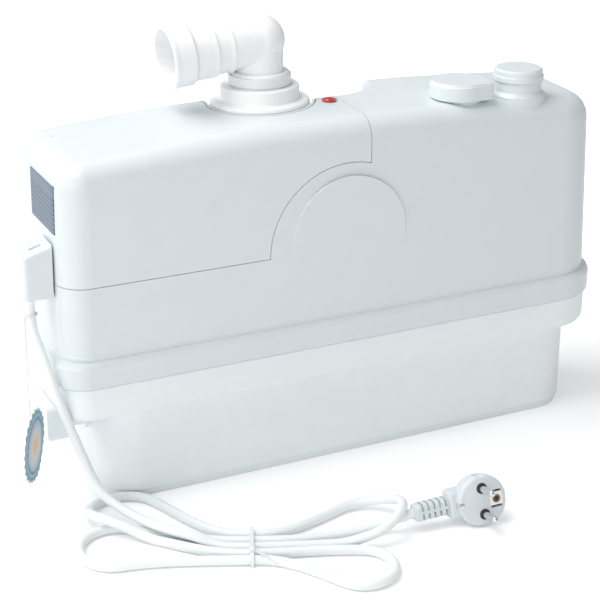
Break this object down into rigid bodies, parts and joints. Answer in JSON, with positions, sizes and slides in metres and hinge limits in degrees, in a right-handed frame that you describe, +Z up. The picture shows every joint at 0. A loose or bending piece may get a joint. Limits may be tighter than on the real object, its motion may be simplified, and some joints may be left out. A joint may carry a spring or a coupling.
{
  "type": "sewage lifting unit",
  "caption": "Slim sewage lifting unit with a step-sided tank, lift-off service cover, capped inlets, a swivel discharge elbow and a tied mains lead.",
  "frame": {"origin": "point on the floor under the middle of the belt", "axes": "+X along the unit away from the cable end, +Y to the rear where the toilet sleeve is, +Z up"},
  "size_m": [0.4824, 0.3094, 0.3297],
  "materials": {
    "shell": "glossy moulded",
    "tank_white": "satin moulded",
    "gasket": "soft",
    "inner_plastic": "moulded",
    "sleeve": "soft white",
    "elbow": "moulded",
    "grey_rubber": "soft",
    "steel": "brushed",
    "lens": "clear red",
    "filter": "carbon fleece",
    "plate": "printed foil",
    "black_plastic": "moulded",
    "cast": "cast",
    "stator": "stacked sheet",
    "bearing": "ground",
    "blade": "ground",
    "cord": "smooth jacket",
    "tie": "moulded",
    "plug": "moulded",
    "pins": "plated",
    "earth": "formed",
    "thread": "twisted",
    "tag": "printed card"
  },
  "bodies": {
    "housing": {"tank": "tank_white", "tank_gasket": "gasket", "upper_housing": "shell", "motor_deck": "inner_plastic", "discharge_boot": "sleeve", "boot_clamp": "tie", "riser_pipe": "inner_plastic", "valve_body": "inner_plastic", "valve_pin": "steel", "vent_filter": "filter", "inlet_stub": "shell", "wc_sleeve": "grey_rubber", "wc_clamp": "steel", "side_stub": "tank_white", "cable_box": "shell", "cable_box_screw": "steel", "cable_gland": "sleeve", "motor_can": "cast", "motor_lid": "black_plastic", "stator_pack": "stator", "upper_bearing": "bearing", "lower_bearing": "bearing", "shaft_seal": "grey_rubber", "cutting_basket": "inner_plastic", "pump_volute": "inner_plastic", "pressure_tube": "inner_plastic", "pressure_switch": "black_plastic", "capacitor": "cast", "capacitor_clip": "black_plastic", "housing_screws": "steel", "cord_drop": "cord", "cord_hank": "cord", "cord_tail": "cord", "cord_tie": "tie", "plug_body": "plug", "plug_pins": "pins", "plug_earth": "earth", "tag_thread": "thread", "hang_tag": "tag"},
    "cover": {"service_cover": "shell", "pilot_lens": "lens", "rating_plate": "plate"},
    "elbow": {"discharge_elbow": "elbow"},
    "flap": {"valve_flap": "grey_rubber"},
    "rotor_unit": {"rotor": "stator", "drive_shaft": "steel", "impeller": "black_plastic", "cutter": "blade"},
    "inlet_lid": {"inlet_cap": "shell"},
    "vent_lid": {"vent_cap": "shell"},
    "side_lid": {"side_cap": "tank_white"},
    "plunger": {"switch_plunger": "inner_plastic"}
  },
  "joints": [
    {"name": "cover_lift", "type": "slide", "parent": "housing", "child": "cover", "axis": [0, 0, 1], "range_m": [0, 0.009]},
    {"name": "elbow_swivel", "type": "hinge", "parent": "housing", "child": "elbow", "pos_m": [-0.04, 0.022, 0.27], "axis": [0, 0, 1], "range_deg": [-90, 90]},
    {"name": "flap_swing", "type": "hinge", "parent": "housing", "child": "flap", "pos_m": [-0.023, 0.022, 0.231], "axis": [0, 1, 0], "range_deg": [0, 70]},
    {"name": "rotor_spin", "type": "hinge", "parent": "housing", "child": "rotor_unit", "pos_m": [-0.13, 0, 0.06], "axis": [0, 0, 1], "continuous": true},
    {"name": "inlet_lid_lift", "type": "slide", "parent": "housing", "child": "inlet_lid", "axis": [0, 0, 1], "range_m": [0, 0.06]},
    {"name": "vent_lid_lift", "type": "slide", "parent": "housing", "child": "vent_lid", "axis": [0, 0, 1], "range_m": [0, 0.03]},
    {"name": "side_lid_pull", "type": "slide", "parent": "housing", "child": "side_lid", "axis": [-1, 0, 0], "range_m": [0, 0.06]},
    {"name": "plunger_press", "type": "slide", "parent": "housing", "child": "plunger", "axis": [0, 0, -1], "range_m": [0, 0.0015], "stiffness_N_per_m": 300}
  ]
}
